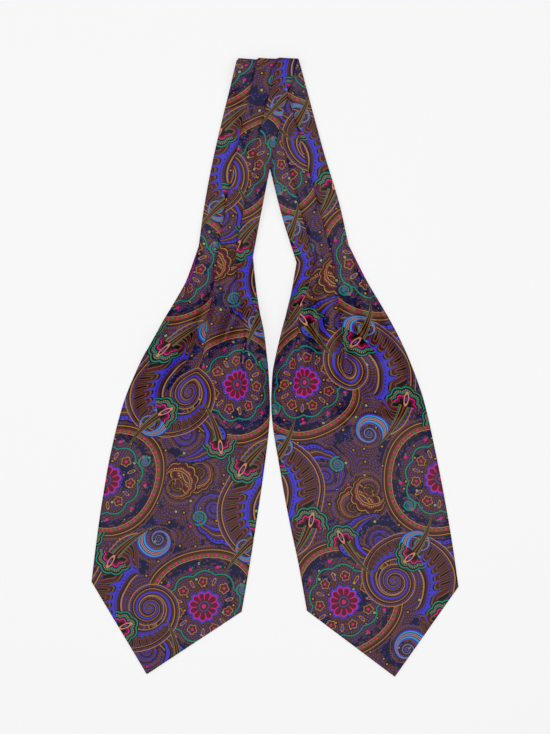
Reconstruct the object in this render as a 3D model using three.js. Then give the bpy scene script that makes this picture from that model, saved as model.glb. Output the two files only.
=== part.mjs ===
// Silk cravat laid out flat. One strip of self-lined silk has its middle pleated into a neckband, the
// neckband is folded over once at the top, and the two wide ends run down from it, left and right, to
// points. Millimetres, +Z up, the cloth rests on z = 0 and its top fold lies towards +Y.
import * as THREE from 'three';

// Driving dimensions
const TOP_TO_TIP = 586.7; // from the top fold down to the lower of the two points, as blunted
const NECK_TURN = 8; // how much of the neckband belongs to the turned-over fold at the top
const TURN_RADIUS = 3.6; // radius of that fold
const SEAM_GAP = 0.3; // between one stretch of the strip and the next, and between crossing bands
const CROSSING_LIFT = 3.9; // how high the left neckband lies where it crosses the right one
const EDGE_ROUND = 0.5; // how far the edge of the cloth is rounded off
const LAYER_GROOVE = 0.55; // depth of the grooves between the pleated layers at a neckband's edge
const DRAPE_START = 4; // the upper band stays lifted this far past the lower band's edge
const DRAPE_WIDTH = 13; // and comes down to the surface over this width
const POINT_BLUNT = 0.014; // share of the cloth's width left across the very end of each point

const SILK = { left: '#5b3f4c', right: '#553a48', fold: '#57402f' };

function table(columns, rows) {
  return rows.map((row) => Object.fromEntries(columns.map((name, i) => [name, row[i]])));
}

// A section goes straight across one half of the cravat, from its outer edge to its inner edge. Each
// end is given by its distance out from the middle of the cravat and its distance down from the top
// fold. The pleats are given by where they lie across, from 0 at the outer edge to 1 at the inner:
// rim is the outer fold, crest one and two are the folded edges that show, pocket one and two are
// the hidden folds beneath them (past the crest while the pleat overlaps, short of it once it has
// opened). Then come their heights, the heights of both edges, and the wall of cloth that is solid.
const SECTION = [
  'outerOut', 'outerDown', 'innerOut', 'innerDown',
  'rim', 'pocketOne', 'crestOne', 'pocketTwo', 'crestTwo',
  'outerHigh', 'rimHigh', 'pocketOneHigh', 'crestOneHigh', 'pocketTwoHigh', 'crestTwoHigh', 'innerHigh',
  'wall',
];

const LEFT_NECK = table(SECTION, [
  [35.6, 0.0, -22.1, 0.0, 0.03, 0.66, 0.344, 0.99, 0.675, 1.4, 1.7, 0.9, 3.1, 0.9, 3.3, 2.4, 4],
  [37.6, NECK_TURN, -19.9, NECK_TURN, 0.03, 0.66, 0.346, 0.99, 0.676, 1.4, 1.7, 0.9, 3.1, 0.9, 3.3, 2.4, 4],
  [56.9, 87.9, 2.1, 93.6, 0.03, 0.68, 0.367, 0.99, 0.683, 1.4, 1.7, 0.9, 3.1, 0.9, 3.3, 2.4, 4],
  [66.6, 138.0, 12.5, 144.5, 0.03, 0.68, 0.368, 0.99, 0.687, 1.4, 1.7, 0.9, 3.1, 0.9, 3.3, 2.4, 4],
  [73.1, 181.0, 20.9, 188.6, 0.03, 0.68, 0.369, 0.99, 0.691, 1.4, 1.9, 0.9, 3.3, 0.9, 3.5, 2.2, 4],
]);
const LEFT_BLADE = table(SECTION, [
  [73.1, 181.0, 20.9, 188.6, 0.03, 0.68, 0.369, 0.99, 0.691, 1.4, 1.9, 0.9, 3.3, 0.9, 3.5, 2.2, 4],
  [84.3, 211.4, 17.8, 219.0, 0.08, 0.62, 0.396, 0.95, 0.747, 1.1, 3.6, 0.9, 5.0, 0.9, 4.6, 1.6, 4],
  [94.8, 230.4, 14.5, 240.4, 0.178, 0.5, 0.417, 0.88, 0.785, 1.1, 4.6, 1.0, 6.2, 1.1, 5.6, 1.4, 3],
  [106.2, 249.4, 10.4, 259.8, 0.228, 0.41, 0.436, 0.78, 0.815, 1.1, 4.8, 1.2, 6.6, 1.2, 6.0, 1.3, 2.2],
  [116.7, 268.4, 7.9, 279.8, 0.24, 0.36, 0.455, 0.66, 0.83, 1.1, 4.2, 1.4, 6.0, 1.2, 5.4, 1.2, 1.6],
  [127.1, 287.4, 5.9, 299.7, 0.25, 0.33, 0.47, 0.6, 0.84, 1.1, 3.4, 1.4, 4.8, 1.2, 4.2, 1.1, 1.3],
  [143.2, 325.4, 4.7, 340.6, 0.2, 0.34, 0.49, 0.66, 0.86, 1.1, 1.9, 1.2, 2.4, 1.1, 2.1, 1.1, 1.2],
  [155.6, 372.9, 9.9, 390.0, 0.2, 0.34, 0.5, 0.66, 0.86, 1.1, 1.2, 1.1, 1.3, 1.1, 1.2, 1.1, 1.1],
  [164.1, 420.4, 17.1, 439.4, 0.2, 0.34, 0.5, 0.66, 0.86, 1.1, 1.1, 1.1, 1.1, 1.1, 1.1, 1.1, 1.1],
  [169.8, 460.3, 24.4, 485.9, 0.2, 0.34, 0.5, 0.66, 0.86, 1.1, 1.1, 1.1, 1.1, 1.1, 1.1, 1.1, 1.1],
  [174.3, 497.3, 31.3, 525.8, 0.2, 0.34, 0.5, 0.66, 0.86, 1.1, 1.1, 1.1, 1.1, 1.1, 1.1, 1.1, 1.1],
]);
const LEFT_POINT = { out: 121.8, down: 585.2 };

const RIGHT_NECK = table(SECTION, [
  [22.1, 0.0, -35.6, 0.0, 0.03, 0.66, 0.335, 0.99, 0.66, 1.4, 1.7, 0.9, 3.1, 0.9, 3.2, 2.4, 4],
  [24.3, NECK_TURN, -33.1, NECK_TURN, 0.03, 0.66, 0.336, 0.99, 0.66, 1.4, 1.7, 0.9, 3.1, 0.9, 3.2, 2.4, 4],
  [45.8, 87.9, -8.0, 93.6, 0.03, 0.67, 0.347, 0.99, 0.664, 1.4, 1.7, 0.9, 3.1, 0.9, 3.2, 2.4, 4],
  [60.9, 138.0, 6.4, 150.0, 0.03, 0.68, 0.352, 0.99, 0.665, 1.4, 1.7, 0.9, 3.1, 0.9, 3.2, 2.4, 4],
  [70.5, 179.0, 20.4, 194.3, 0.03, 0.68, 0.356, 0.99, 0.667, 1.4, 1.9, 0.9, 3.3, 0.9, 3.4, 2.2, 4],
]);
const RIGHT_BLADE = table(SECTION, [
  [70.5, 179.0, 20.4, 194.3, 0.03, 0.68, 0.356, 0.99, 0.667, 1.4, 1.9, 0.9, 3.3, 0.9, 3.4, 2.2, 4],
  [87.0, 211.4, 15.4, 222.8, 0.05, 0.6, 0.405, 0.96, 0.79, 1.1, 2.8, 0.9, 4.8, 0.9, 4.6, 1.6, 4],
  [98.4, 230.4, 10.7, 241.8, 0.08, 0.5, 0.429, 0.88, 0.84, 1.1, 3.0, 1.0, 5.6, 1.1, 5.2, 1.4, 3],
  [109.5, 249.4, 5.5, 260.8, 0.11, 0.42, 0.46, 0.76, 0.84, 1.1, 3.2, 1.2, 6.0, 1.2, 5.4, 1.3, 2.2],
  [119.4, 268.4, 0.8, 281.7, 0.16, 0.43, 0.54, 0.7, 0.86, 1.1, 3.2, 1.4, 5.6, 1.2, 4.6, 1.2, 1.6],
  [127.9, 287.4, -2.6, 300.7, 0.2, 0.44, 0.57, 0.71, 0.87, 1.1, 2.8, 1.4, 4.4, 1.2, 3.6, 1.1, 1.3],
  [141.3, 325.4, -3.4, 339.6, 0.22, 0.42, 0.56, 0.71, 0.87, 1.1, 1.8, 1.2, 2.2, 1.1, 1.9, 1.1, 1.2],
  [152.2, 372.9, 4.0, 389.0, 0.22, 0.4, 0.54, 0.71, 0.87, 1.1, 1.2, 1.1, 1.3, 1.1, 1.2, 1.1, 1.1],
  [161.5, 420.4, 12.8, 437.5, 0.22, 0.4, 0.54, 0.71, 0.87, 1.1, 1.1, 1.1, 1.1, 1.1, 1.1, 1.1, 1.1],
  [168.6, 462.2, 21.9, 480.2, 0.22, 0.4, 0.54, 0.71, 0.87, 1.1, 1.1, 1.1, 1.1, 1.1, 1.1, 1.1, 1.1],
  [174.3, 502.0, 29.9, 524.9, 0.22, 0.4, 0.54, 0.71, 0.87, 1.1, 1.1, 1.1, 1.1, 1.1, 1.1, 1.1, 1.1],
]);
const RIGHT_POINT = { out: 113.8, down: 587.6 };

// Side view of an edge, from the underside to the top: how far up the thickness, how far in.
const PLEATED_EDGE = table(['up', 'inset'], [
  [0.16, 0], [0.3, 0], [0.36, LAYER_GROOVE], [0.42, 0], [0.6, 0], [0.66, LAYER_GROOVE], [0.72, 0], [0.86, 0],
]);
const PLAIN_EDGE = table(['up', 'inset'], [[0.5, 0]]);

// How finely each stretch is divided across, in the spans between its pleat lines.
const SPANS = [2, 3, 2, 4, 2, 4];

// Distance of each section along the strip, measured down its middle.
function stations(sections) {
  let along = 0;
  return sections.map((now, i) => {
    if (i > 0) {
      const before = sections[i - 1];
      along += Math.hypot(
        (now.outerOut + now.innerOut - before.outerOut - before.innerOut) / 2,
        (now.outerDown + now.innerDown - before.outerDown - before.innerDown) / 2,
      );
    }
    return along;
  });
}

// A smooth section anywhere between the given ones, from cubic pieces whose slopes follow both
// neighbours, so the cloth's outline and its pleats run on without kinks.
function sectionAt(sections, along) {
  const at = stations(sections);
  let i = 0;
  while (i < sections.length - 2 && along > at[i + 1]) i += 1;
  const span = at[i + 1] - at[i];
  const u = Math.min(Math.max((along - at[i]) / span, 0), 1);
  const slope = (name, k) => {
    const lower = Math.max(k - 1, 0);
    const upper = Math.min(k + 1, sections.length - 1);
    return (sections[upper][name] - sections[lower][name]) / (at[upper] - at[lower]);
  };
  const section = {};
  for (const name of SECTION) {
    const a = sections[i][name];
    const b = sections[i + 1][name];
    section[name] = a * (1 - u) * (1 - u) * (1 + 2 * u) + b * u * u * (3 - 2 * u)
      + span * (slope(name, i) * u * (1 - u) * (1 - u) - slope(name, i + 1) * u * u * (1 - u));
  }
  return section;
}

function mix(a, b, u) {
  return a + (b - a) * u;
}

// Top of the cloth across a section: a list of places across and heights. A pleat that still
// overlaps drops straight down beside its crest; an open one comes down to its pocket in a curve.
function profile(section) {
  const nick = 0.9 / Math.hypot(section.outerOut - section.innerOut, section.outerDown - section.innerDown);
  const marks = [{ f: 0, z: section.outerHigh }, { f: section.rim, z: section.rimHigh }];
  for (const which of ['One', 'Two']) {
    const crest = section[`crest${which}`];
    const pocket = section[`pocket${which}`];
    const before = marks[marks.length - 1];
    if (pocket > crest - nick) {
      const u = (crest - nick - before.f) / (pocket - before.f);
      marks.push({ f: crest - nick, z: mix(before.z, section[`pocket${which}High`], u) });
    } else {
      marks.push({ f: pocket, z: section[`pocket${which}High`] });
    }
    marks.push({ f: crest, z: section[`crest${which}High`] });
  }
  marks.push({ f: 1, z: section.innerHigh });
  const open = Math.min(Math.max((3.6 - section.wall) / 1.6, 0), 1);
  const points = [];
  SPANS.forEach((count, k) => {
    for (let j = 0; j < count; j += 1) {
      const u = j / count;
      const eased = mix(u, u * u * (3 - 2 * u), open);
      points.push({ f: mix(marks[k].f, marks[k + 1].f, u), z: mix(marks[k].z, marks[k + 1].z, eased) });
    }
  });
  points.push(marks[marks.length - 1]);
  return points;
}

// One closed ring round the cloth at a section. Each point is x, y, z and its place across.
function ring(section, side, { lift = () => 0, edge, squash = null, under = null }) {
  const length = Math.hypot(section.outerOut - section.innerOut, section.outerDown - section.innerDown);
  const place = (ends, f) => ({
    x: side * mix(ends.outerOut, ends.innerOut, f),
    y: TOP_TO_TIP / 2 - mix(ends.outerDown, ends.innerDown, f),
  });
  const inset = (f) => mix(EDGE_ROUND / length, 1 - EDGE_ROUND / length, f);
  const top = profile(section).map(({ f, z }) => {
    const p = place(section, inset(f));
    const base = lift(p.x, TOP_TO_TIP / 2 - p.y);
    return { ...p, f: inset(f), high: base + z, low: base + Math.max(0, z - section.wall) };
  });
  const bottom = top.map((p) => ({ ...p, z: p.low }));
  if (under) {
    bottom.forEach((p) => {
      const q = { x: -side * mix(under.innerOut, under.outerOut, p.f), y: p.y };
      Object.assign(p, q, { z: 0 });
    });
  }
  const upper = top.map((p) => ({ ...p, z: p.high }));
  const wallEdge = (from, to, f) => edge.map(({ up, inset: inward }) => {
    const g = f === 0 ? inward / length : 1 - inward / length;
    const p = place(section, g);
    const q = under ? -side * mix(under.innerOut, under.outerOut, g) : p.x;
    return { x: mix(q, p.x, up), y: p.y, z: mix(from.z, to.z, up), f: g };
  });
  const outerSide = wallEdge(bottom[0], upper[0], 0);
  const innerSide = wallEdge(bottom[bottom.length - 1], upper[upper.length - 1], 1).reverse();
  const points = [...upper, ...innerSide, ...bottom.reverse(), ...outerSide];
  if (squash) points.forEach((p) => { p.z = squash(p.z); });
  points.columns = upper.length;
  return points;
}

// A closed solid through a row of rings with equal numbers of points, flat at both ends.
function loft(rings, flip) {
  const count = rings[0].length;
  const position = rings.flat().flatMap((p) => [p.x, p.y, p.z]);
  const index = [];
  const face = (a, b, c) => (flip ? index.push(a, c, b) : index.push(a, b, c));
  for (let r = 0; r < rings.length - 1; r += 1) {
    for (let i = 0; i < count; i += 1) {
      const a = r * count + i;
      const b = r * count + ((i + 1) % count);
      face(a, b, a + count);
      face(b, b + count, a + count);
    }
  }
  // Each flat end is cut into one cell between neighbouring columns, the edges' cells with their grooves.
  const columns = rings[0].columns;
  const sides = (count - 2 * columns) / 2;
  const under = (i) => 2 * columns + sides - 1 - i;
  const range = (from, to) => Array.from({ length: to - from + 1 }, (_, i) => (from + i) % count);
  const cells = [range(under(1), count + 1), range(columns - 2, under(columns - 2))];
  for (let i = 1; i < columns - 2; i += 1) cells.push([i, i + 1, under(i + 1), under(i)]);
  for (const [r, last] of [[0, false], [rings.length - 1, true]]) {
    const flat = (n) => new THREE.Vector2(rings[r][n].f * 60, rings[r][n].z);
    for (const cell of cells) {
      const outline = cell.map(flat);
      const around = THREE.ShapeUtils.area(outline);
      for (const [a, b, c] of THREE.ShapeUtils.triangulateShape(outline, [])) {
        const turn = THREE.ShapeUtils.area([outline[a], outline[b], outline[c]]);
        const [i, j, k] = [a, b, c].map((n) => r * count + cell[n]);
        if (turn * around > 0 === last) face(i, j, k);
        else face(i, k, j);
      }
    }
  }
  const geometry = new THREE.BufferGeometry();
  geometry.setAttribute('position', new THREE.Float32BufferAttribute(position, 3));
  geometry.setIndex(index);
  geometry.computeVertexNormals();
  return geometry;
}

function silk(colour) {
  return new THREE.MeshStandardMaterial({ color: colour, roughness: 0.45, metalness: 0 });
}

function piece(name, geometry, colour) {
  const mesh = new THREE.Mesh(geometry, silk(colour));
  mesh.name = name;
  return mesh;
}

function steps(from, to, longest) {
  const count = Math.max(1, Math.ceil((to - from) / longest));
  return Array.from({ length: count + 1 }, (_, i) => mix(from, to, i / count));
}

// Inner edge of the right neckband, as x, at a distance down from the top fold.
function rightBandEdge(down) {
  const rows = RIGHT_NECK;
  let i = 0;
  while (i < rows.length - 2 && down > rows[i + 1].innerDown) i += 1;
  const u = (down - rows[i].innerDown) / (rows[i + 1].innerDown - rows[i].innerDown);
  return mix(rows[i].innerOut, rows[i + 1].innerOut, u);
}

// The left neckband lies on the right one, stays up just past its edge and comes down to the surface.
function crossingLift(x, down) {
  const past = (rightBandEdge(down) - x - DRAPE_START) / DRAPE_WIDTH;
  const u = Math.min(Math.max(past, 0), 1);
  return CROSSING_LIFT * (1 - u * u * (3 - 2 * u));
}

// The fold at the top: its upper face carries the left band's pleats, its underside is flat.
function neckFold() {
  const middle = (CROSSING_LIFT + 3.1) / 2;
  const share = (sections, down) => (stations(sections)[1] * down) / NECK_TURN;
  const rings = [0, 0.25, 0.8, 1.7, TURN_RADIUS, NECK_TURN].map((down) => {
    const left = sectionAt(LEFT_NECK, share(LEFT_NECK, down));
    const right = sectionAt(RIGHT_NECK, share(RIGHT_NECK, down));
    const round = Math.min(down / TURN_RADIUS, 1);
    const open = Math.max(Math.sqrt(1 - (1 - round) ** 2), 0.12);
    return ring(left, -1, {
      lift: () => CROSSING_LIFT,
      edge: PLEATED_EDGE,
      under: right,
      squash: (z) => middle + (z - middle) * open,
    });
  });
  return loft(rings, true);
}

function neckband(sections, side, lift) {
  const at = stations(sections);
  const whole = at[at.length - 1] - SEAM_GAP / 2;
  const rings = steps(at[1] + SEAM_GAP, whole, 11).map((along) => {
    const section = sectionAt(sections, along);
    return ring(section, side, { lift, edge: PLEATED_EDGE });
  });
  return loft(rings, side < 0);
}

function blade(sections, point, side) {
  const at = stations(sections);
  const corner = sections[sections.length - 1];
  const rows = [
    ...steps(SEAM_GAP / 2, at[5], 7),
    ...steps(at[5], at[7], 12).slice(1),
    ...steps(at[7], at[at.length - 1], 36).slice(1),
  ].map((along) => sectionAt(sections, along));
  for (const u of [0.25, 0.5, 0.75, 0.9, 1 - POINT_BLUNT]) {
    rows.push({
      ...corner,
      outerOut: mix(corner.outerOut, point.out, u),
      outerDown: mix(corner.outerDown, point.down, u),
      innerOut: mix(corner.innerOut, point.out, u),
      innerDown: mix(corner.innerDown, point.down, u),
    });
  }
  return loft(rows.map((section) => ring(section, side, { edge: PLAIN_EDGE })), side < 0);
}

const cravat = new THREE.Group();
cravat.name = 'silk_cravat';
cravat.add(
  piece('neck_fold', neckFold(), SILK.fold),
  piece('left_neckband', neckband(LEFT_NECK, -1, crossingLift), SILK.left),
  piece('right_neckband', neckband(RIGHT_NECK, 1, () => 0), SILK.right),
  piece('left_blade', blade(LEFT_BLADE, LEFT_POINT, -1), SILK.left),
  piece('right_blade', blade(RIGHT_BLADE, RIGHT_POINT, 1), SILK.right),
);

export default cravat;
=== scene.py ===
# %% [markdown]
# # A silk cravat, laid out flat
# The real thing is one long strip of printed silk twill, two layers thick, sewn round its edges and
# turned. Its middle is pleated into a narrow neckband, its ends are wide and pointed. Here it lies on a
# table, folded over once across the middle of the neckband. The solids of the cravat are loaded first,
# because every piece made here has to lie where they lie.

# %% Load the solids and keep their size
import math

import bpy
import numpy as np
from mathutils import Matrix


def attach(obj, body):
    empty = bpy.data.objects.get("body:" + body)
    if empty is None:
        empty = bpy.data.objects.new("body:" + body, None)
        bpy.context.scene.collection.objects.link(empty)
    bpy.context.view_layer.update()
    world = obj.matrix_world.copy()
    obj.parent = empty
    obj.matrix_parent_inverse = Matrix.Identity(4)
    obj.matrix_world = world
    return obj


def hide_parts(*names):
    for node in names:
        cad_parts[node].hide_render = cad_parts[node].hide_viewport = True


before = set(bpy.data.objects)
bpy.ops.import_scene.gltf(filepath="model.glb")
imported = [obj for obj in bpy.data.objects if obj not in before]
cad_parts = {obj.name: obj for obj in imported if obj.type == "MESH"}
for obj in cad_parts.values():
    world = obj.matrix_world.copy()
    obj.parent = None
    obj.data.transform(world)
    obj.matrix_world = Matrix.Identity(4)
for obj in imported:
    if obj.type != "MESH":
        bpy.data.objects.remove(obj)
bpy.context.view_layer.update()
print("solids:", sorted(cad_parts))

# %% [markdown]
# ## Camera, table and light
# The photo looks straight down on the cloth through a long lens, so that both points show at the same
# size. A camera far above with a narrow view does the same. The picture is 550 pixels wide and 734
# high, and one pixel is 0.95 mm on the cloth, so the lens is worked out from the height of the picture.

# %% Camera straight above
MM = 0.001
PIXEL = 0.95 * MM
PICTURE_HIGH = 734 * PIXEL
CAMERA_HIGH = 3.0

bpy.ops.object.select_all(action="DESELECT")
bpy.ops.object.camera_add(location=(0, 0, CAMERA_HIGH), rotation=(0, 0, 0))
camera = bpy.context.object
camera.name = "camera"
camera.data.sensor_width = 36
camera.data.lens = camera.data.sensor_width * CAMERA_HIGH / PICTURE_HIGH
camera.data.clip_end = 20
bpy.context.scene.camera = camera
print("lens, mm:", round(camera.data.lens, 1))


# %% [markdown]
# Colours are written as sRGB hex values, as they look on a screen. Blender's shaders want linear light,
# so one function turns them. A second small function adds any shader node with its settings and links.

# %% Two helpers for every material
def linear(hex_colour):
    """A colour such as #AABBCC as shaders want it: red, green, blue and alpha in linear light."""
    parts = [int(hex_colour[i : i + 2], 16) / 255 for i in (1, 3, 5)]
    return tuple(c / 12.92 if c <= 0.04045 else ((c + 0.055) / 1.055) ** 2.4 for c in parts) + (1.0,)


def add_node(tree, kind, settings=None, inputs=None):
    """Adds one node. Settings are its properties; an input is a number, a colour or a node's socket."""
    made = tree.nodes.new(kind)
    for name, value in (settings or {}).items():
        setattr(made, name, value)
    for name, value in (inputs or {}).items():
        value = getattr(value, "socket", value)
        if isinstance(value, bpy.types.NodeSocket):
            tree.links.new(value, made.inputs[name])
        else:
            made.inputs[name].default_value = value
    return made


def new_material(name):
    """An empty material and its node tree, with only the output left in it."""
    material = bpy.data.materials.new(name)
    material.use_nodes = True
    tree = material.node_tree
    for old in list(tree.nodes):
        if old.type != "OUTPUT_MATERIAL":
            tree.nodes.remove(old)
    return material, tree, next(n for n in tree.nodes if n.type == "OUTPUT_MATERIAL")


# %% A plain pale table top
table_paint, tree, output = new_material("matt_white_table")
table_look = {"Base Color": linear("#F6F6F6"), "Roughness": 0.9}
surface = add_node(tree, "ShaderNodeBsdfPrincipled", inputs=table_look)
tree.links.new(surface.outputs[0], output.inputs[0])

bpy.ops.object.select_all(action="DESELECT")
bpy.ops.mesh.primitive_plane_add(size=6, location=(0, 0, -0.0002))
table_top = bpy.context.object
table_top.name = "table_top"
table_top.data.materials.append(table_paint)

# %% Soft light from all round, a large lamp above the camera and one to each side
LAMPS = [
    # name, place, size, watts
    ("overhead", (0.0, 0.1, 3.8), 0.7, 96),
    ("left_side", (-2.0, 0.4, 1.5), 0.9, 5),
    ("right_side", (2.0, 0.2, 1.5), 0.9, 3),
]
world = bpy.data.worlds.new("studio")
bpy.context.scene.world = world
world.use_nodes = True
world.node_tree.nodes["Background"].inputs["Color"].default_value = linear("#FFFFFF")
world.node_tree.nodes["Background"].inputs["Strength"].default_value = 0.28
for name, place, size, watts in LAMPS:
    tilt = math.atan2(math.hypot(place[0], place[1]), place[2])
    heading = math.atan2(place[0], -place[1])
    bpy.ops.object.select_all(action="DESELECT")
    bpy.ops.object.light_add(type="AREA", location=place, rotation=(tilt, 0, heading))
    lamp = bpy.context.object
    lamp.name = name
    lamp.data.size = size
    lamp.data.energy = watts
bpy.context.scene.view_settings.view_transform = "Standard"

# %% [markdown]
# ## The strip, its pleats and how it lies
# A maker cuts the strip 147 mm wide, and lays its middle in flat knife pleats: the outer edge is tucked
# under, then two pleats are folded outwards, so that three narrow strips of silk show. Below the
# stitched neckband the pleats are released, and the cloth spreads to its full width. One row below is
# one section straight across a half, from its outer to its inner edge, in millimetres. The folds are
# given by where they lie, from 0 at the outer edge to 1 at the inner edge.

# %% Sections of the two halves
CUT_WIDE = 146.6
TOP_TO_TIP = 586.7
SECTION = (
    "outer_out outer_down inner_out inner_down tuck rim under_one crest_one under_two crest_two "
    "rim_high crest_one_high crest_two_high inner_high low gap soft"
).split()
LEFT = [
    [35.6, 0.0, -22.1, 0.0, 0.30, 0.0, 0.66, 0.344, 0.99, 0.675, 1.5, 3.1, 3.3, 2.2, 0.4, 0.8, 1.1],
    [37.6, 8.0, -19.9, 8.0, 0.30, 0.0, 0.66, 0.346, 0.99, 0.676, 1.5, 3.1, 3.3, 2.2, 0.4, 0.8, 1.1],
    [56.9, 87.9, 2.1, 93.6, 0.28, 0.0, 0.68, 0.367, 0.99, 0.683, 1.5, 3.1, 3.3, 2.2, 0.4, 0.8, 1.1],
    [66.6, 138.0, 12.5, 144.5, 0.18, 0.0, 0.68, 0.368, 0.99, 0.687, 1.5, 3.1, 3.3, 2.2, 0.4, 0.8, 1.1],
    [73.1, 181.0, 20.9, 188.6, 0.0, 0.01, 0.69, 0.369, 1.0, 0.691, 2.0, 3.4, 3.6, 1.9, 0.4, 0.8, 1.3],
    [84.3, 211.4, 17.8, 219.0, 0.0, 0.08, 0.64, 0.396, 0.96, 0.747, 2.8, 4.2, 4.0, 1.2, 0.4, 0.7, 1.8],
    [94.8, 230.4, 14.5, 240.4, 0.0, 0.165, 0.61, 0.417, 0.87, 0.785, 3.0, 4.6, 4.4, 1.0, 0.5, 0.6, 2.6],
    [106.2, 249.4, 10.4, 259.8, 0.0, 0.17, 0.53, 0.436, 0.815, 0.815, 3.0, 4.6, 4.2, 0.9, 0.6, 0.4, 4.0],
    [116.7, 268.4, 7.9, 279.8, 0.0, 0.15, 0.475, 0.455, 0.78, 0.83, 2.4, 4.2, 3.6, 0.7, 0.8, 0.2, 6.0],
    [127.1, 287.4, 5.9, 299.7, 0.0, 0.135, 0.43, 0.475, 0.76, 0.845, 1.8, 3.2, 2.6, 0.6, 0.8, 0.0, 8.0],
    [143.2, 325.4, 4.7, 340.6, 0.0, 0.12, 0.38, 0.486, 0.742, 0.857, 1.2, 2.0, 1.8, 0.5, 0.6, 0.0, 10.0],
    [155.6, 372.9, 9.9, 390.0, 0.0, 0.116, 0.368, 0.491, 0.737, 0.86, 0.5, 0.5, 0.5, 0.4, 0.4, 0.0, 10.0],
    [164.1, 420.4, 17.1, 439.4, 0.0, 0.116, 0.368, 0.491, 0.737, 0.86, 0.4, 0.4, 0.4, 0.4, 0.4, 0.0, 10.0],
    [169.8, 460.3, 24.4, 485.9, 0.0, 0.116, 0.368, 0.491, 0.737, 0.86, 0.4, 0.4, 0.4, 0.4, 0.4, 0.0, 10.0],
    [174.3, 497.3, 31.3, 525.8, 0.0, 0.116, 0.368, 0.491, 0.737, 0.86, 0.4, 0.4, 0.4, 0.4, 0.4, 0.0, 10.0],
]
RIGHT = [
    [22.1, 0.0, -35.6, 0.0, 0.30, 0.0, 0.66, 0.335, 0.99, 0.66, 1.5, 3.1, 3.3, 2.2, 0.4, 0.8, 1.1],
    [24.3, 8.0, -33.1, 8.0, 0.30, 0.0, 0.66, 0.336, 0.99, 0.66, 1.5, 3.1, 3.3, 2.2, 0.4, 0.8, 1.1],
    [45.8, 87.9, -8.0, 93.6, 0.28, 0.0, 0.67, 0.347, 0.99, 0.664, 1.5, 3.1, 3.3, 2.2, 0.4, 0.8, 1.1],
    [60.9, 138.0, 6.4, 150.0, 0.18, 0.0, 0.68, 0.352, 0.99, 0.665, 1.5, 3.1, 3.3, 2.2, 0.4, 0.8, 1.1],
    [70.5, 179.0, 20.4, 194.3, 0.0, 0.01, 0.69, 0.356, 1.0, 0.667, 1.9, 3.3, 3.4, 1.9, 0.4, 0.8, 1.3],
    [87.0, 211.4, 15.4, 222.8, 0.0, 0.05, 0.63, 0.405, 0.99, 0.79, 2.2, 4.4, 4.2, 1.2, 0.4, 0.7, 1.8],
    [98.4, 230.4, 10.7, 241.8, 0.0, 0.10, 0.57, 0.429, 0.93, 0.845, 2.2, 4.6, 4.4, 1.0, 0.5, 0.6, 2.6],
    [109.5, 249.4, 5.5, 260.8, 0.0, 0.12, 0.50, 0.447, 0.84, 0.85, 2.2, 4.6, 4.2, 0.9, 0.6, 0.4, 4.0],
    [119.4, 268.4, 0.8, 281.7, 0.0, 0.125, 0.46, 0.475, 0.79, 0.86, 2.0, 4.0, 3.4, 0.7, 0.8, 0.2, 6.0],
    [127.9, 287.4, -2.6, 300.7, 0.0, 0.12, 0.43, 0.485, 0.765, 0.86, 1.8, 3.6, 3.0, 0.6, 0.8, 0.0, 8.0],
    [141.3, 325.4, -3.4, 339.6, 0.0, 0.118, 0.38, 0.49, 0.745, 0.86, 1.2, 1.8, 1.6, 0.5, 0.6, 0.0, 10.0],
    [152.2, 372.9, 4.0, 389.0, 0.0, 0.116, 0.368, 0.491, 0.737, 0.86, 0.5, 0.5, 0.5, 0.4, 0.4, 0.0, 10.0],
    [161.5, 420.4, 12.8, 437.5, 0.0, 0.116, 0.368, 0.491, 0.737, 0.86, 0.4, 0.4, 0.4, 0.4, 0.4, 0.0, 10.0],
    [168.6, 462.2, 21.9, 480.2, 0.0, 0.116, 0.368, 0.491, 0.737, 0.86, 0.4, 0.4, 0.4, 0.4, 0.4, 0.0, 10.0],
    [174.3, 502.0, 29.9, 524.9, 0.0, 0.116, 0.368, 0.491, 0.737, 0.86, 0.4, 0.4, 0.4, 0.4, 0.4, 0.0, 10.0],
]
LEFT_POINT = (121.8, 585.2)
RIGHT_POINT = (113.8, 587.6)
RELEASE_ROW = 4  # the row where the stitching of the neckband ends
# The five folds, from the cloth's outer edge: rim, under one, crest one, under two, crest two.
FOLDS_AT = [17.0, 54.0, 72.0, 108.0, 126.0]


def stations(rows):
    """Distance of each section along the strip, measured down its middle."""
    middle = np.array([[(r[0] + r[2]) / 2, (r[1] + r[3]) / 2] for r in rows])
    return np.concatenate([[0], np.cumsum(np.linalg.norm(np.diff(middle, axis=0), axis=1))])


POINT_LONG = 76.0
print("left half of the strip, mm:", round(stations(LEFT)[-1] + POINT_LONG, 1))


# %% [markdown]
# Between two given sections the cloth runs on smoothly, apart from the place where the pleats are
# let go: there its outline has a real corner. So the neckband and the wide end are smoothed each
# on its own.

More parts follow.
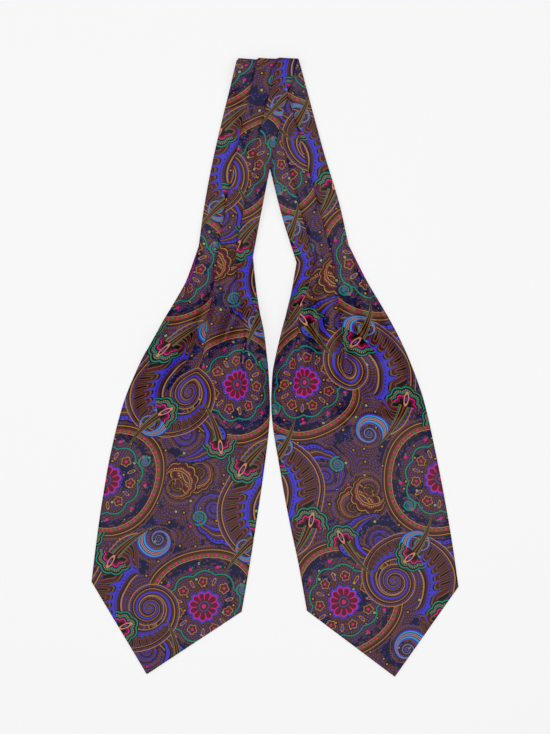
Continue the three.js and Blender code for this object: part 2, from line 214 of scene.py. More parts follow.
# %% A smooth section at any place along a half
def sections_at(rows, along):
    """Named arrays with one value for each place in along, from cubic pieces between the given rows."""
    at = stations(rows)
    table = np.array(rows, float)
    out = np.empty((len(along), len(SECTION)))
    release = at[RELEASE_ROW]
    for part in (slice(0, RELEASE_ROW + 1), slice(RELEASE_ROW, len(rows))):
        x, y = at[part], table[part]
        slope = np.empty_like(y)
        slope[1:-1] = (y[2:] - y[:-2]) / (x[2:] - x[:-2])[:, None]
        slope[0] = (y[1] - y[0]) / (x[1] - x[0])
        slope[-1] = (y[-1] - y[-2]) / (x[-1] - x[-2])
        here = along <= release if part.start == 0 else along > release
        i = np.clip(np.searchsorted(x, along[here]) - 1, 0, len(x) - 2)
        span = x[i + 1] - x[i]
        u = np.clip((along[here] - x[i]) / span, 0, 1)[:, None]
        span = span[:, None]
        out[here] = (
            y[i] * (1 - u) ** 2 * (1 + 2 * u)
            + y[i + 1] * u**2 * (3 - 2 * u)
            + span * (slope[i] * u * (1 - u) ** 2 - slope[i + 1] * u**2 * (1 - u))
        )
    return dict(zip(SECTION, out.T))


# %% [markdown]
# Across a section the silk goes over and under: out to a fold, back beneath, out again. That path is
# drawn as straight stretches between the folds and then rounded. In the neckband the folds are
# pressed sharp, so they are rounded over about 1 mm. In the wide end they die out, so they are
# rounded over 10 mm.

# %% The folded path across each section
FINE = 0.5  # step of the path, mm
FOLD_TURN = 0.8  # silk that goes round one pressed fold, mm
GROOVE_WIDE = 1.1  # dip of the panel just below a fold's edge, mm
GROOVES = [
    # crest, under, before, and how far the dip goes towards the lowest layer
    ("crest_one", "under_one", "rim", 0.95),
    ("crest_two", "under_two", "crest_one", 0.3),  # from 0.45 on it cuts through the layers beneath it
]


def folded_path(section, row):
    """Places across (0 to 1) and heights of the silk at every half millimetre of its flat width."""

    def get(name):
        return section[name][row]

    flat, across, high = [0.0], [get("tuck")], [get("low")]
    names = ["rim", "under_one", "crest_one", "under_two", "crest_two"]
    for at, name in zip(FOLDS_AT, names):
        gap = get("gap")
        if name.startswith("under"):
            first, second = get("low"), get("low") + gap
        else:
            second = get(name + "_high")
            first = second - gap
        flat += [at - FOLD_TURN / 2, at + FOLD_TURN / 2]
        across += [get(name)] * 2
        high += [first, second]
    flat.append(CUT_WIDE)
    across.append(1.0)
    high.append(get("inner_high"))
    fine = np.arange(0, CUT_WIDE + FINE, FINE)
    across, high = np.interp(fine, flat, across), np.interp(fine, flat, high)
    reach = max(1, int(round(get("soft") / FINE)))
    weight = 1 + np.cos(np.linspace(-math.pi, math.pi, 2 * reach + 3)[1:-1])
    weight /= weight.sum()

    def rounded(line):
        before_line = 2 * line[0] - line[reach:0:-1]
        after_line = 2 * line[-1] - line[-2 : -reach - 2 : -1]
        longer = np.concatenate([before_line, line, after_line])
        return np.convolve(longer, weight, "valid")

    across, high = rounded(across), rounded(high)
    for crest, under, before, sunk in GROOVES:
        tucked = get(under) - get(crest)
        start = FOLDS_AT[names.index(before)]
        reach_under = FOLDS_AT[names.index(under)] - start
        groove = start + reach_under * (get(crest) - get(before)) / max(get(under) - get(before), 0.05)
        wide = GROOVE_WIDE + 0.35 * get("soft")
        deep = np.clip(tucked * 12, 0, 1) * np.exp(-(((fine - groove) / wide) ** 2))
        between = (fine > start + 2) & (fine < FOLDS_AT[names.index(under)])
        high = np.where(between, high - sunk * deep * (high - get("low")), high)
    return fine, across, high


# %% [markdown]
# The left neckband lies across the right one, so it is lifted there and comes down beside it. At the
# very top both bands are the two ends of one fold, so their first few millimetres are wrapped round
# half a turn.

# %% Where the halves cross and where they turn over
CROSSING_LIFT = 3.9
DRAPE_START = 4.0
DRAPE_WIDE = 20.0
TURN_RADIUS = 3.6
TURN_MIDDLE = 3.5
TURN_LONG = TURN_RADIUS * math.pi / 2


def crossing_lift(x, down):
    """Height of the left half above the table, from the right neckband's inner edge beneath it."""
    neckband = RIGHT[: RELEASE_ROW + 1]
    edge = np.interp(down, [row[3] for row in neckband], [row[2] for row in neckband])
    u = np.clip((edge - x - DRAPE_START) / DRAPE_WIDE, 0, 1)
    return CROSSING_LIFT * (1 - u * u * (3 - 2 * u))


# %% [markdown]
# Below the neckband the released silk stands up a little and keeps a few creases of its own. Each one
# is given as a short bent line, with its reach to either side and its depth in millimetres. It
# is steep in the middle and has soft shoulders. They differ in length, reach and depth.

# %% Creases in the wide ends
CREASE_ROUND = 0.8  # radius at the bottom of a crease, mm
SHOULDER = 1.6  # reach of a crease's soft shoulders, in its own reaches
PUFF_HIGH = 9.2  # the released silk rises by this much, mm
PUFF_DOWN = 274.0  # where it is highest, below the turn at the top
PUFF_LONG = 60.0
PUFF_EDGE = 0.07  # share of the width over which it comes down to each edge
RIPPLE_HIGH = 0.25  # the wide ends are a little uneven, mm
RIPPLE_FROM = 230  # where that starts, below the turn at the top
STEEP_SHARE = 0.85  # of a crease's depth, in its steep middle
SHOULDER_SHARE = 0.3  # and in its soft shoulders
CREASE = "from_out from_down middle_out middle_down to_out to_down wide deep".split()
LEFT_CREASES = [
    [82.0, 214.0, 90.0, 232.0, 98.0, 250.0, 6.7, 5],
    [62.0, 226.0, 68.5, 246.0, 79.0, 272.0, 7.2, 10.7],
    [77.0, 262.0, 95.0, 296.0, 112.0, 324.0, 8.3, 9.3],
    [31.0, 230.0, 44.0, 257.0, 56.0, 290.0, 7.9, 11.6],
    [131.0, 302.0, 135.0, 326.0, 141.0, 346.0, 8.3, 5.4],
    [144.0, 362.0, 119.0, 381.0, 93.0, 399.0, 7.9, 2.7],
    [84.0, 300.0, 80.0, 330.0, 81.0, 364.0, 7.9, 2],
    [60.0, 306.0, 57.0, 318.0, 58.0, 330.0, 6.6, 2.4],
    [104.0, 246.0, 114.0, 268.0, 122.0, 292.0, 5.3, 3.6],
]
RIGHT_CREASES = [
    [33.0, 228.0, 40.0, 255.0, 35.0, 296.0, 7.9, 11.6],
    [12.5, 240.0, 9.5, 258.0, 6.5, 280.0, 6.7, 5.2],
    [64.0, 230.0, 67.0, 276.0, 64.0, 310.0, 7.9, 10.7],
    [73.0, 222.0, 80.0, 256.0, 100.0, 281.0, 7.9, 10],
    [98.0, 228.0, 113.0, 266.0, 132.0, 290.0, 7.9, 8.4],
    [46.0, 333.0, 91.0, 345.0, 138.0, 340.0, 9.7, 4.9],
    [47.0, 300.0, 50.0, 316.0, 48.0, 334.0, 6.6, 2.8],
    [84.0, 296.0, 88.0, 312.0, 96.0, 328.0, 6.6, 2.8],
    [22.0, 282.0, 20.0, 300.0, 22.0, 320.0, 6.6, 2.4],
]


def creases(table, out, down):
    """Height that all creases together add to the silk at each point."""
    total = np.zeros_like(out)
    for row in table:
        c = dict(zip(CREASE, row))
        u = np.linspace(0, 1, 25)[:, None]
        start, bend, end = (np.array([c[k + "_out"], c[k + "_down"]]) for k in ("from", "middle", "to"))
        line = start * (1 - u) * (1 - 2 * u) + bend * 4 * u * (1 - u) + end * u * (2 * u - 1)
        away = np.hypot(out[..., None] - line[:, 0], down[..., None] - line[:, 1])
        nearest = away.argmin(-1)
        fade = np.sin(math.pi * (0.08 + 0.84 * u[:, 0]))[nearest]
        from_line = np.hypot(away.min(-1), CREASE_ROUND) - CREASE_ROUND
        steep = np.clip(1 - from_line / c["wide"], 0, 1) ** 1.3
        shoulder = np.exp(-((from_line / (SHOULDER * c["wide"])) ** 2))
        total -= c["deep"] * fade * (STEEP_SHARE * steep + SHOULDER_SHARE * shoulder)
    return total


# %% [markdown]
# ## From a flat grid to folded silk
# Each half starts as a flat grid, with the strip's width, its own length and its pointed end. Its
# flat place is kept as a UV map in millimetres, so that the print is on the cloth before it is
# pleated and breaks at every fold, as on the real thing. Then every point is moved to where the
# section's path has it. Rounding shortens the path at the folds, so the folded neckband has 6 to 8%
# less area than its flat silk.

# %% Flat places of the grid: close together at the folds and in the turn at the top
GROOVES_AT = [36.3, 90.4]  # where the panels pass below the edges of the two pleats in the neckband
MIDDLE = CUT_WIDE / 2
DENSE_LONG = 180  # the grid's rows are close together this far below the neckband, mm
LOWEST = 0.34  # the silk's middle surface is never nearer to the table than this, mm
TIP_SHARE = 0.004  # width left at the very tip, as a share of the full width


def close_at_folds():
    """Places across the flat silk: 1.6 mm apart, and closer beside each fold and groove."""
    places = {0.0, CUT_WIDE}
    places.update(np.linspace(0, CUT_WIDE, 93).round(3))
    for fold in FOLDS_AT:
        places = {p for p in places if abs(p - fold) > 2.9}
        places.update((fold + np.arange(-2.7, 2.71, 0.45)).round(3))
    for groove in GROOVES_AT:
        places = {p for p in places if abs(p - groove) > 2.9}
        places.update((groove + np.arange(-2.4, 2.41, 0.6)).round(3))
    return np.array(sorted(places))


across_flat = close_at_folds()
print("columns across each half:", len(across_flat))


def silk_grid(name, rows, point, side, crease_table):
    """One half of the cravat as a thin folded shell, from a flat grid."""
    at = stations(rows)
    corner = at[-1]
    release = at[RELEASE_ROW]
    table_at = np.concatenate(
        [
            np.linspace(0, TURN_LONG, 9),
            np.linspace(TURN_LONG, release, 56)[1:],
            np.linspace(release, release + DENSE_LONG, 90)[1:],
            np.linspace(release + DENSE_LONG, corner + TURN_LONG - TURN_RADIUS, 36)[1:],
        ]
    )
    point_at = np.linspace(0, 1, 30)[1:] ** 0.93  # rows a little closer towards the tip
    count_rows = len(table_at) + len(point_at)
    count = len(across_flat)
    bpy.ops.object.select_all(action="DESELECT")
    bpy.ops.mesh.primitive_grid_add(x_subdivisions=count - 1, y_subdivisions=count_rows - 1, size=1)
    silk = bpy.context.object
    silk.name = silk.data.name = name

    # Flat place of every point: across and along, in millimetres.
    flat = np.empty((count_rows, count, 2))
    flat[: len(table_at), :, 0] = across_flat
    flat[: len(table_at), :, 1] = table_at[:, None]
    for i, u in enumerate(point_at):
        shrink = max(1 - u, TIP_SHARE)
        flat[len(table_at) + i, :, 0] = MIDDLE + (across_flat - MIDDLE) * shrink
        flat[len(table_at) + i, :, 1] = table_at[-1] + POINT_LONG * u

    # Folded place of every point.
    plan = np.empty((count_rows, count, 3))  # out, down, high
    in_turn = table_at * TURN_RADIUS / TURN_LONG
    body_at = np.where(table_at > TURN_LONG, table_at - TURN_LONG + TURN_RADIUS, in_turn)
    section = sections_at(rows, body_at)
    for i in range(len(table_at)):
        fine, across, high = folded_path(section, i)
        f = np.interp(across_flat, fine, across)
        z = np.interp(across_flat, fine, high)
        for axis, way in enumerate(("out", "down")):
            outer, inner = section["outer_" + way][i], section["inner_" + way][i]
            plan[i, :, axis] = outer + (inner - outer) * f
        plan[i, :, 2] = z
        edge_fade = np.clip(np.minimum(f, 1 - f) / PUFF_EDGE, 0, 1)
        plan[i, :, 2] += PUFF_HIGH * edge_fade * np.exp(-(((plan[i, :, 1] - PUFF_DOWN) / PUFF_LONG) ** 2))
    last = plan[len(table_at) - 1]
    for i, u in enumerate(point_at):
        keep = max(1 - u, TIP_SHARE)
        tip = np.array([point[0], point[1], last[0, 2]])
        plan[len(table_at) + i] = tip + (last - tip) * keep

    out, down, high = plan[..., 0], plan[..., 1], plan[..., 2]
    high = high + creases(crease_table, out, down)
    ripple = np.sin(out / 23 + down / 61) * np.sin(down / 37 - out / 90)
    high = high + RIPPLE_HIGH * ripple * (down > RIPPLE_FROM)
    high = np.maximum(high, LOWEST)
    if side < 0:
        high = high + crossing_lift(side * out, down)
    turn = np.count_nonzero(table_at <= TURN_LONG + 1e-6)
    angle = (table_at[:turn] / TURN_RADIUS)[:, None]
    from_middle = np.abs(high[:turn] - TURN_MIDDLE)
    down[:turn] = TURN_RADIUS - from_middle * np.cos(angle)
    high[:turn] = TURN_MIDDLE - side * from_middle * np.sin(angle)

    place = np.stack([side * out, TOP_TO_TIP / 2 - down, high], -1) * MM
    # The primitive's points run along x first, so its columns are the places across.
    silk.data.vertices.foreach_set("co", place.reshape(-1))
    cloth_map = silk.data.uv_layers[0] if silk.data.uv_layers else silk.data.uv_layers.new()
    cloth_map.name = "flat_cloth_mm"
    corners = np.empty(len(silk.data.loops), int)
    silk.data.loops.foreach_get("vertex_index", corners)
    printed = flat.reshape(-1, 2).copy()
    if side > 0:
        printed[:, 1] *= -1  # the strip runs on past the fold
    cloth_map.data.foreach_set("uv", printed[corners].reshape(-1))
    silk.data.update()
    return silk


left_silk = silk_grid("left_half_silk", LEFT, LEFT_POINT, -1, LEFT_CREASES)
right_silk = silk_grid("right_half_silk", RIGHT, RIGHT_POINT, 1, RIGHT_CREASES)
print("faces in one half:", len(left_silk.data.polygons))

# %% [markdown]
# The grid is a surface with no thickness. Two layers of silk twill sewn together are about half a
# millimetre thick, so Solidify gives the grid a wall, half to each side.

# %% Give the silk its thickness
SILK_THICK = 0.55 * MM

for silk in (left_silk, right_silk):
    bpy.ops.object.select_all(action="DESELECT")
    bpy.context.view_layer.objects.active = silk
    silk.select_set(True)
    bpy.ops.object.mode_set(mode="EDIT")
    bpy.ops.mesh.select_all(action="SELECT")
    bpy.ops.mesh.normals_make_consistent(inside=False)
    bpy.ops.object.mode_set(mode="OBJECT")
    wall = silk.modifiers.new("two_layers", "SOLIDIFY")
    wall.thickness = SILK_THICK
    wall.offset = 0
    bpy.ops.object.modifier_apply(modifier=wall.name)
    bpy.ops.object.shade_smooth()
    print(silk.name, "triangles:", 2 * len(silk.data.polygons))

# %% [markdown]
# ## The printed silk
# The cloth is silk twill, screen printed: dense colours with hair-fine outlines, under a soft sheen.
# The design is a generic paisley of many small parts. It is written as arithmetic on the flat cloth's
# own millimetres: distances to circles and to growing spirals choose the colour. No picture is used. So
# that the arithmetic reads as arithmetic, a Field stands for a number that varies over the cloth.

# %% Numbers that vary over the cloth
printed_silk, tree, output = new_material("printed_silk_twill")


class Field:
    """A number that varies over the cloth. Arithmetic with it adds nodes to the silk's material."""

    def __init__(self, socket):
        self.socket = socket

    def __add__(self, other):
        return work("ADD", self, other)

    def __sub__(self, other):
        return work("SUBTRACT", self, other)

    def __mul__(self, other):
        return work("MULTIPLY", self, other)

    def __truediv__(self, other):
        return work("DIVIDE", self, other)

    def __lt__(self, other):
        return work("LESS_THAN", self, other)

    def __gt__(self, other):
        return work("GREATER_THAN", self, other)

    def __neg__(self):
        return work("MULTIPLY", self, -1.0)

    __radd__, __rmul__ = __add__, __mul__


def work(operation, *values):
    """One step of arithmetic, such as SINE or MINIMUM, on fields and plain numbers."""
    made = add_node(tree, "ShaderNodeMath", {"operation": operation}, dict(enumerate(values)))
    return Field(made.outputs[0])


def near(value, middle, half):
    """1 where value is within half of middle, else 0."""
    return work("COMPARE", value, middle, half)


def choose(first, second, where):
    """The first number, or the second one where the field is 1."""
    made = add_node(tree, "ShaderNodeMix", {"data_type": "FLOAT"}, {0: where, 2: first, 3: second})
    return Field(made.outputs[0])


def eased(value, points):
    """A smooth curve through points (x, y), both from 0 to 1."""
    made = add_node(tree, "ShaderNodeFloatCurve", inputs={"Value": value})
    curve = made.mapping.curves[0]
    while len(curve.points) < len(points):
        curve.points.new(0.5, 0.5)
    for handle, place in zip(curve.points, points):
        handle.location = place
    made.mapping.update()
    return Field(made.outputs[0])


def paint(under, ink, where):
    """The colour under, with another one laid over it where the field is 1."""
    over = linear(INK[ink]) if isinstance(ink, str) else ink
    return add_node(tree, "ShaderNodeMix", {"data_type": "RGBA"}, {0: where, 6: under, 7: over}).outputs[2]


def rings(value, stops):
    """A colour chosen by value alone, in plain steps: each stop is where its ink starts."""
    made = add_node(tree, "ShaderNodeValToRGB", inputs={0: value})
    ramp = made.color_ramp
    ramp.interpolation = "CONSTANT"
    while len(ramp.elements) < len(stops):
        ramp.elements.new(1.0)
    for element, (start, ink) in zip(ramp.elements, stops):
        element.position = start
        element.color = linear(INK[ink])
    return made.outputs[0]


# %% The inks, and the repeat of the print
INK = {
    "brown": "#46251B",
    "deep_brown": "#0C0508",
    "copper": "#6E4226",
    "gold": "#A8743A",
    "navy": "#101036",
    "violet": "#4034B8",
    "lilac": "#4B3E92",
    "teal": "#147A68",
    "turquoise": "#2496BC",
    "magenta": "#C8126E",
    "crimson": "#5A0B2A",
    "olive": "#604A2A",
    "sage": "#869268",
    "salmon": "#C47C62",
}
REPEAT_WIDE = 110.0
REPEAT_LONG = 210.0
TURN = 2 * math.pi

cloth = add_node(tree, "ShaderNodeUVMap", {"uv_map": "flat_cloth_mm"}).outputs[0]
cloth_parts = add_node(tree, "ShaderNodeSeparateXYZ", inputs={0: cloth})
cloth_x, cloth_y = Field(cloth_parts.outputs[0]), Field(cloth_parts.outputs[1])


# %% [markdown]
# Each motif looks at the cloth from its own place. The print is a half-drop repeat: each column of
# it, 110 mm wide, sits half a repeat lower than the one beside it. So the way to a motif is wrapped
# to its nearest copy.

# %% A motif's own view of the cloth
class View:
    """Place, distance and angle of the cloth's points, as a motif sees them in its own millimetres."""

    def __init__(self, centre, turned=0.0, size=1.0, hand=1, middle=(0, 0), stretch=None):
        x, y = cloth_x - centre[0], cloth_y - centre[1]
        column = work("ROUND", x * (1 / REPEAT_WIDE))
        x = work("MULTIPLY_ADD", column, -REPEAT_WIDE, x)
        y = work("MULTIPLY_ADD", column, -REPEAT_LONG / 2, y)
        y = work("WRAP", y, REPEAT_LONG / 2, -REPEAT_LONG / 2)
        c, s = math.cos(turned) / size, math.sin(turned) / size
        self.x = work("MULTIPLY_ADD", x, c, y * s) + middle[0]
        self.y = work("MULTIPLY_ADD", y, c * hand, x * (-s * hand)) + middle[1]
        if stretch:
            start, end, times = stretch
            beside = work("MAXIMUM", (-self.x - start) * (1 / (end - start)), 0.0)
            shorter = work("SMOOTH_MIN", beside, 1.0, 0.3) * (1 / times - 1) + 1
            below, above = work("MINIMUM", self.y, 0.0), work("MAXIMUM", self.y, 0.0)
            self.y = work("MULTIPLY_ADD", below, shorter, above)
        self.r = work("SQRT", work("MULTIPLY_ADD", self.x, self.x, self.y * self.y))
        self.angle = work("ARCTAN2", self.y, self.x)
        self.size = size


def petals(angle, count):
    """Bumps round a circle, 0 between two petals and 1 at the middle of each."""
    return work("ABSOLUTE", work("SINE", angle * (count / 2)))


def round_about(view, count, radius, start=0.0):
    """Distance to the nearest of count equal places on a circle, and the place's own two directions."""
    along = work("WRAP", view.angle + start, math.pi / count, -math.pi / count) * radius
    out = view.r - radius
    return work("SQRT", work("MULTIPLY_ADD", along, along, out * out)), along, out


# %% [markdown]
# The curling leaf of a paisley is a ribbon wound on a growing spiral: thin at its eye, wide in its
# body, and drawn out to a tip. A growing spiral keeps its shape at every turn, so one formula gives
# eye and body.

# %% A curling leaf
class Curl:
    """A ribbon on a growing spiral; across runs from 0 at its inner edge to 1 at its outer edge."""

    def __init__(self, view, eye, grow, ends, widths, scallops=0.0, deep=0.0):
        unwound = work("LOGARITHM", view.r * (1 / eye), math.e) * (1 / grow)
        winds = work("FLOOR", (unwound - view.angle) * (1 / TURN))
        last = work("FLOOR", (-view.angle + ends) * (1 / TURN))
        self.wound = work("MULTIPLY_ADD", work("MINIMUM", winds, last), TURN, view.angle)
        self.inner = work("EXPONENT", self.wound * grow) * eye
        self.left = (-self.wound + ends) * (1 / TURN)
        wide = self.inner * eased(self.left, widths) * (math.exp(TURN * grow) - 1) * 1.5
        if scallops:
            wide = wide * (petals(self.wound, scallops) * deep + (1 - deep))
        self.across = (view.r - self.inner) / wide
        self.edge = view.r - self.inner - wide
        self.inside = self.edge < 0
        self.view = view


# How wide a leaf is, from its tip at 0 to its eye at 1.
BODY = [(0, 0.0), (0.03, 0.22), (0.1, 0.4), (0.2, 0.47), (0.32, 0.42), (0.44, 0.3), (0.58, 0.23)]
BODY += [(0.78, 0.21), (1, 0.22)]
HOOK = [(0, 0.0), (0.08, 0.1), (0.18, 0.32), (0.28, 0.46), (0.4, 0.3), (0.6, 0.15), (1, 0.15)]
COMMA = [(0, 0.0), (0.08, 0.34), (0.22, 0.56), (0.45, 0.34), (0.7, 0.18), (1, 0.14)]
EYE = [(0, 0.1), (0.1, 0.2), (0.4, 0.24), (1, 0.24)]
LONG_BODY = ((-18, -18), (22, 46, 2.3))
SHORT_BODY = ((-18, -18), (20, 44, 1.6))
# Each spiral: the radius of its eye, how fast it grows, and the angle at which it ends.
LONG_SPIRAL = (2.7, 0.16, 16.4)
SHORT_SPIRAL = (3.0, 0.12, 20.6)
EYE_SPIRAL = (3.0, 0.1, 20.0)
HOOK_EDGE = {"scallops": 11.0, "deep": 0.2}
SPRIG_EDGE = {"scallops": 13.0, "deep": 0.25}

# Each view: its centre on the cloth in mm, how far it is turned, its size, and 1 or -1 for its hand.
big = Curl(View((50, 98), 0.3, 0.84, 1, *LONG_BODY), *LONG_SPIRAL, BODY)
hook_one = Curl(View((4, 104), 2.9, 0.68, -1, *LONG_BODY), *LONG_SPIRAL, HOOK, **HOOK_EDGE)
hook_two = Curl(View((64, 172), -2.1, 0.62, 1, *LONG_BODY), *LONG_SPIRAL, HOOK, **HOOK_EDGE)
comma_one = Curl(View((66, 46), 1.9, 0.36, 1, *SHORT_BODY), *SHORT_SPIRAL, COMMA)
comma_two = Curl(View((22, 154), 0.3, 0.34, -1, *SHORT_BODY), *SHORT_SPIRAL, COMMA)
sprig_one = Curl(View((97, 190), 2.2, 0.46, 1, *SHORT_BODY), *SHORT_SPIRAL, COMMA, **SPRIG_EDGE)
sprig_two = Curl(View((66, 218), -0.7, 0.42, -1, *SHORT_BODY), *SHORT_SPIRAL, COMMA, **SPRIG_EDGE)
eye_one = Curl(View((92, 24), 0.8, 0.3, 1), *EYE_SPIRAL, EYE)
eye_two = Curl(View((34, 188), 2.8, 0.26, -1), *EYE_SPIRAL, EYE)
roundel = View((0, 0))
three_sided = work("SINE", roundel.angle * 3 + 1.0) * 0.035 + 1
two_sided = work("SINE", roundel.angle * 2) * 0.03 + 1
roundel.r = roundel.r * three_sided * two_sided
ROUND_EDGE = 54.0

# %% [markdown]
# The ground is brown with rows of tiny violet dots. The rows run round the motifs like ripples, so
# each point asks which motif's outline is nearest, how far off it is, and at what angle it lies
# round that motif.

# %% The ground
ROW = 2.5  # from one row of dots to the next, mm
DOT = 0.64  # radius of a dot, mm

nearest = work("ABSOLUTE", roundel.r - ROUND_EDGE)
spin, reach = roundel.angle, roundel.r
curls = (big, hook_one, hook_two, sprig_one, sprig_two, comma_one, comma_two, eye_one, eye_two)
for curl in curls:
    away = work("ABSOLUTE", curl.edge) * curl.view.size
    closer = away < nearest
    spin = choose(spin, curl.view.angle, closer)
    reach = choose(reach, curl.view.r * curl.view.size, closer)
    nearest = work("MINIMUM", nearest, away)
row = work("ROUND", nearest * (1 / ROW))
off_row = work("WRAP", nearest, ROW / 2, -ROW / 2)
dots_round = work("MAXIMUM", work("ROUND", reach * 0.2), 1.0) * round(TURN * 5 / ROW)
off_dot = work("WRAP", spin * dots_round * (1 / TURN) + row * 0.5, 0.5, -0.5)
off_dot = off_dot / dots_round * reach * TURN
from_dot = work("SQRT", work("MULTIPLY_ADD", off_row, off_row, off_dot * off_dot))


def scattered(scale, randomness):
    """Random cells on the cloth: how far off each one's middle is, and a shade for each."""
    look = {"Vector": cloth, "Scale": scale, "Randomness": randomness}
    made = add_node(tree, "ShaderNodeTexVoronoi", {"voronoi_dimensions": "2D"}, look)
    shade = add_node(tree, "ShaderNodeSeparateColor", inputs={0: made.outputs["Color"]})
    return made.outputs["Distance"], Field(shade.outputs[0])


cell_shade = scattered(0.42, 0.9)[1]
patch_look = {"Vector": cloth, "Scale": 0.036, "Detail": 1.5}
patches = add_node(tree, "ShaderNodeTexNoise", {"noise_dimensions": "2D"}, patch_look)
patch = Field(patches.outputs[0]) + (cell_shade - 0.5) * 0.09 - nearest * 0.006
ragged = (cell_shade - 0.5) * 3.6

colour = linear(INK["brown"])
dark_ground = (patch > 0.525) * ((nearest + ragged) > 3.0)
colour = paint(colour, "navy", dark_ground)
dot_here = from_dot < DOT
colour = paint(colour, "lilac", dot_here)
colour = paint(colour, "copper", dot_here * (cell_shade > 0.84))
colour = paint(colour, "navy", dot_here * dark_ground * (cell_shade > 0.35))
colour = paint(colour, "copper", near(nearest, ROW * 1.5, 0.42))
SPECKS_APART = 15  # mm
speck_distance, speck_shade = scattered(1 / SPECKS_APART, 0.8)
speck = Field(speck_distance) * SPECKS_APART
colour = paint(colour, "deep_brown", speck < 2.0)
colour = paint(colour, "gold", speck < 1.0)
colour = paint(colour, "sage", (speck < 1.3) * (speck_shade > 0.55))
colour = paint(colour, "magenta", (speck < 1.3) * (speck_shade > 0.86))

# %% The copper sprigs, which lie under every other motif
for sprig in (sprig_one, sprig_two):
    bands = rings(
        sprig.across,
        [(0, "deep_brown"), (0.06, "gold"), (0.16, "deep_brown"), (0.22, "copper"), (0.44, "crimson"),
         (0.6, "deep_brown"), (0.66, "brown"), (0.84, "gold"), (0.93, "deep_brown")],
    )
    colour = paint(colour, "deep_brown", sprig.edge < 1.4)
    colour = paint(colour, bands, sprig.inside)
    pip = work("WRAP", sprig.wound * 8, 0.5, -0.5)
    colour = paint(colour, "salmon", sprig.inside * near(pip, 0, 0.22) * near(sprig.across, 0.33, 0.05))

# %% [markdown]
# The roundel is built outwards from its middle: a flower, blossoms, a scalloped line, a ragged
# dark ring and a gold-edged border of beads. What repeats round it is drawn once, in an angle that
# is wrapped round.

# %% The roundel
r, angle = roundel.r, roundel.angle
colour = paint(colour, "navy", near(r + ragged * 1.5, 42.5, 2.0))
wavy = r - petals(angle, 9) * 3.6
colour = paint(colour, "deep_brown", near(wavy, 31.0, 1.2))
colour = paint(colour, "teal", near(wavy, 31.0, 0.7))
border = rings(
    r * 0.01,
    [(0, "deep_brown"), (0.466, "gold"), (0.474, "brown"), (0.484, "copper"), (0.51, "brown"),
     (0.53, "deep_brown"), (0.536, "gold"), (0.543, "brown"), (0.556, "deep_brown")],
)
in_border = ((r + work("SINE", angle * 38) * 0.5) > 46.4) * (r < 56.4)
colour = paint(colour, border, in_border)
bead, _, _ = round_about(roundel, 38, 49.2)
colour = paint(colour, "magenta", bead < 1.15)
_, dash, _ = round_about(roundel, 38, 49.2, math.pi / 38)
colour = paint(colour, "teal", near(dash, 0, 1.3) * near(r, 48.6, 0.4))

blossom, side_way, out_way = round_about(roundel, 7, 24.0)
blossom_edge = blossom - petals(work("ARCTAN2", out_way, side_way), 5) * 1.3
colour = paint(colour, "gold", blossom_edge < 3.6)
colour = paint(colour, "brown", blossom_edge < 2.9)
colour = paint(colour, "magenta", blossom < 1.3)
_, side_way, out_way = round_about(roundel, 7, 24.5, math.pi / 7)
drop = work("SQRT", out_way * out_way * 0.14 + side_way * side_way)
colour = paint(colour, "gold", drop < 1.5)
colour = paint(colour, "deep_brown", drop < 1.0)
colour = paint(colour, "lilac", drop < 0.6)
spray, side_way, out_way = round_about(roundel, 9, 38.6)
colour = paint(colour, "magenta", spray < 1.5)
colour = paint(colour, "teal", near(side_way, 2.3, 0.7) * near(out_way, 1.2, 0.9))

flower = r - petals(angle, 11) * 2.6
colour = paint(colour, "violet", flower < 13.2)
colour = paint(colour, "magenta", flower < 11.4)
colour = paint(colour, "crimson", (flower < 10.4) * (petals(angle, 11) > 0.3))
colour = paint(colour, "brown", r < 6.6)
colour = paint(colour, "lilac", near(r, 4.6, 0.45))
colour = paint(colour, "magenta", r < 2.0)

# %% [markdown]
# The hooked leaves are violet, with a scalloped back and a brown middle full of tiny dots.

# %% The hooked violet leaves
for leaf in (hook_one, hook_two):
    bands = rings(
        leaf.across,
        [(0, "deep_brown"), (0.05, "violet"), (0.22, "deep_brown"), (0.27, "brown"), (0.46, "gold"),
         (0.5, "brown"), (0.68, "deep_brown"), (0.72, "violet"), (0.95, "deep_brown")],
    )
    colour = paint(colour, "deep_brown", leaf.edge < 1.0)
    colour = paint(colour, bands, leaf.inside)
    pip = work("WRAP", leaf.wound * 9, 0.5, -0.5)
    colour = paint(colour, "navy", leaf.inside * near(pip, 0, 0.2) * near(leaf.across, 0.82, 0.05))
    colour = paint(colour, "lilac", leaf.inside * near(pip, 0, 0.22) * near(leaf.across, 0.56, 0.03))

# %% [markdown]
# The big curling leaf has a gold outline, and inside it a row of crimson lobes that lean across a
# violet band, like a feather. Towards its eye the bands become stripes.

# %% The big curling leaf
u = big.across
stripes = rings(
    u,
    [(0, "gold"), (0.1, "deep_brown"), (0.16, "brown"), (0.34, "violet"), (0.6, "deep_brown"),
     (0.66, "brown"), (0.9, "gold")],
)
body_bands = rings(
    u,
    [(0, "gold"), (0.04, "navy"), (0.1, "brown"), (0.17, "violet"), (0.86, "brown"), (0.965, "gold")],
)
in_body = big.left < 0.56
colour = paint(colour, "brown", big.edge < 5.0)
colour = paint(colour, "gold", near(big.edge, 4.6, 0.45))
colour = paint(colour, "lilac", dot_here * near(big.edge, 2.6, 0.9))
colour = paint(colour, "deep_brown", big.edge < 1.2)
colour = paint(colour, stripes, big.inside)
colour = paint(colour, body_bands, big.inside * in_body)
lean = work("WRAP", big.wound * 5.2 + u * 1.3, 0.5, -0.5)
lobe = u - lean * lean * lean * lean * 4.6
in_lobes = big.inside * in_body * (u < 0.86)
gap = work("ABSOLUTE", lean)
colour = paint(colour, "deep_brown", in_lobes * (lobe > 0.3))
colour = paint(colour, "olive", in_lobes * (lobe > 0.34) * (gap < 0.45))
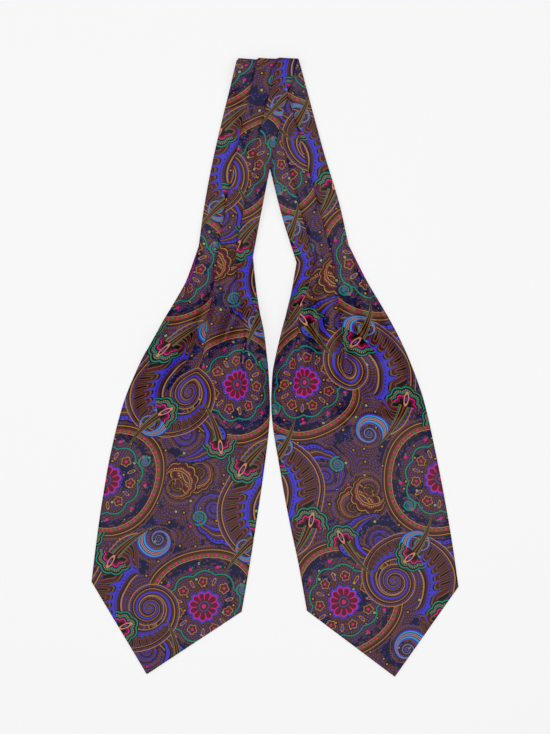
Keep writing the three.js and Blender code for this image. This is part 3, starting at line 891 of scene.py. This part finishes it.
colour = paint(colour, "deep_brown", in_lobes * (lobe > 0.4) * (gap < 0.37))
colour = paint(colour, "crimson", in_lobes * (lobe > 0.43) * (gap < 0.33))
colour = paint(colour, "olive", in_lobes * (lobe > 0.5) * (gap < 0.17))
colour = paint(colour, "deep_brown", in_lobes * (lobe > 0.54) * (gap < 0.1))
colour = paint(colour, "lilac", dot_here * big.inside * near(u, 0.91, 0.035))
pip = work("WRAP", big.wound * 15.6, 0.5, -0.5)
colour = paint(colour, "navy", in_lobes * near(pip, 0, 0.2) * near(u, 0.22, 0.02))

# %% The turquoise commas and the small teal curls
for comma in (comma_one, comma_two):
    bands = rings(
        comma.across,
        [(0, "violet"), (0.14, "turquoise"), (0.3, "deep_brown"), (0.38, "salmon"), (0.45, "lilac"),
         (0.55, "salmon"), (0.62, "deep_brown"), (0.7, "turquoise"), (0.84, "violet")],
    )
    colour = paint(colour, "deep_brown", comma.edge < 1.2)
    colour = paint(colour, bands, comma.inside)
for small in (eye_one, eye_two):
    colour = paint(colour, "teal", small.inside)


# %% [markdown]
# A fan flower is a scalloped head on a long stem that bends and runs out to nothing.

# %% Fan flowers
def fan_flower(colour, view, long, bend):
    """Lays a fan flower over the colour: head at the view's middle, stem running off to the left."""
    stem = (-view.x + 4) * (1 / long)
    aside = work("ABSOLUTE", work("MULTIPLY_ADD", stem * stem, bend, view.y))
    across = aside / ((-stem + 1.0) * 4.4 + 0.4)
    bands = rings(
        across,
        [(0, "copper"), (0.16, "deep_brown"), (0.4, "brown"), (0.6, "gold"), (0.72, "deep_brown"),
         (0.86, "teal")],
    )
    colour = paint(colour, bands, (across < 1) * (stem > 0) * (stem < 1))
    out = view.x + 6
    from_base = work("SQRT", work("MULTIPLY_ADD", out, out, view.y * view.y * 1.3))
    lean = work("ARCTAN2", view.y, out)
    head = from_base - petals(lean + math.pi / 9, 9) * 1.8
    bands = rings(
        head * 0.05,
        [(0, "deep_brown"), (0.25, "crimson"), (0.35, "magenta"), (0.41, "deep_brown"), (0.47, "teal"),
         (0.52, "brown"), (0.62, "deep_brown"), (0.67, "teal"), (0.73, "deep_brown")],
    )
    in_head = (head < 15.4) * (work("ABSOLUTE", lean) < 1.42)
    colour = paint(colour, bands, in_head)
    pip = near(work("WRAP", lean * 9, 0.5, -0.5), 0, 0.22)
    colour = paint(colour, "sage", in_head * pip * near(head, 11.4, 0.5))
    drop = work("SQRT", work("MULTIPLY_ADD", view.x * 0.1, view.x, view.y * view.y))
    colour = paint(colour, "salmon", drop < 1.9)
    colour = paint(colour, "deep_brown", drop < 1.2)
    return paint(colour, "lilac", drop < 0.6)


colour = fan_flower(colour, View((22, 66), 2.0, 1.25, 1, (-12, 0)), long=46.0, bend=12.0)
colour = fan_flower(colour, View((30, 146), -0.6, 1.2, 1, (-12, 0)), long=42.0, bend=-14.0)
colour = fan_flower(colour, View((98, 152), 1.3, 1.15, -1, (-12, 0)), long=44.0, bend=10.0)

# %% [markdown]
# Silk twill is woven with a fine diagonal line. Its threads are about a tenth of a millimetre apart,
# too fine to show here, so the line is drawn 0.7 mm apart and very shallow. The sheen is fitted, not
# measured: its roughness and index were chosen so that the tones come near the photo's. Real silk has
# an index of about 1.55.

# %% Twill weave, sheen and the finished material
TWILL = 0.7
ribs = work("SINE", (cloth_x + cloth_y) * (TURN / TWILL / math.sqrt(2)))
weave = add_node(tree, "ShaderNodeBump", inputs={"Strength": 0.12, "Distance": 0.0001, "Height": ribs})
silk_surface = add_node(
    tree,
    "ShaderNodeBsdfPrincipled",
    inputs={
        "Base Color": colour,
        "Roughness": 0.42,
        "IOR": 1.155,
        "Normal": weave.outputs[0],
    },
)
tree.links.new(silk_surface.outputs[0], output.inputs[0])
print("nodes in the silk:", len(tree.nodes))

for silk in (left_silk, right_silk):
    silk.data.materials.clear()
    silk.data.materials.append(printed_silk)

# %% [markdown]
# ## Say what stands for what
# The two halves replace the plain solids and ride on the one body.
# Both are declared with the left half's length, though the right half is 4.8 mm longer.

# %% Tell the frame
for silk, nodes, under in (
    (left_silk, ("neck_fold", "left_neckband", "left_blade"), ["right_neckband"]),
    (right_silk, ("right_neckband", "right_blade"), ["table_top"]),
):
    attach(silk, "root")
    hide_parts(*nodes)
